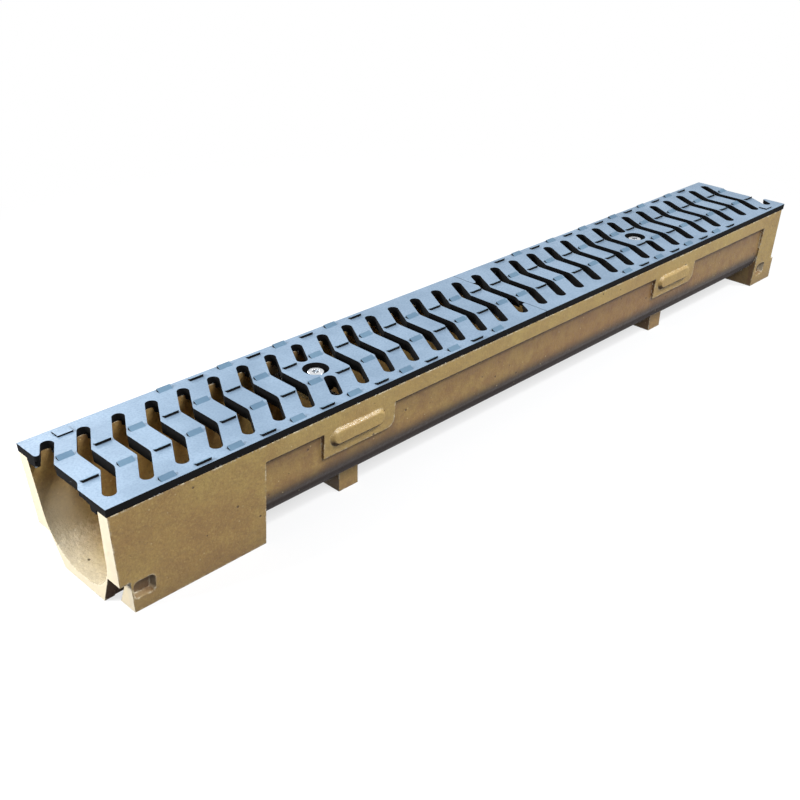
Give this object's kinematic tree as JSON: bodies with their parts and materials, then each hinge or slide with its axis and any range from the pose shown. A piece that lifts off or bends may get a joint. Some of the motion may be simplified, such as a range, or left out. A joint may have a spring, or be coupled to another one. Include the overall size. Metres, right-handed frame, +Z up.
{
  "type": "channel drain",
  "caption": "Moulded channel drain with a round-floored trough, joint ends and feet, covered by bolted cast gratings with bent drain slots.",
  "frame": {"origin": "under the middle of the channel, on the bed that the channel stands on", "axes": "+X along the channel towards the end that steps out over the next channel's spigot, +Y across it, +Z up"},
  "size_m": [1.007, 0.129, 0.1064],
  "materials": {
    "polymer_concrete": "matt, fine sandy grain with small pits",
    "cast_iron": "dull blue-grey paint on the top, near black on the sides",
    "bright_zinc": "bright zinc plate",
    "galvanised": "galvanised, satin"
  },
  "bodies": {
    "root": {"channel_body": "polymer_concrete", "grating_left": "cast_iron", "grating_right": "cast_iron", "bolt_left": "bright_zinc", "bolt_right": "bright_zinc", "washer_left": "bright_zinc", "washer_right": "bright_zinc", "crossbar_left": "galvanised", "crossbar_right": "galvanised"}
  },
  "joints": []
}
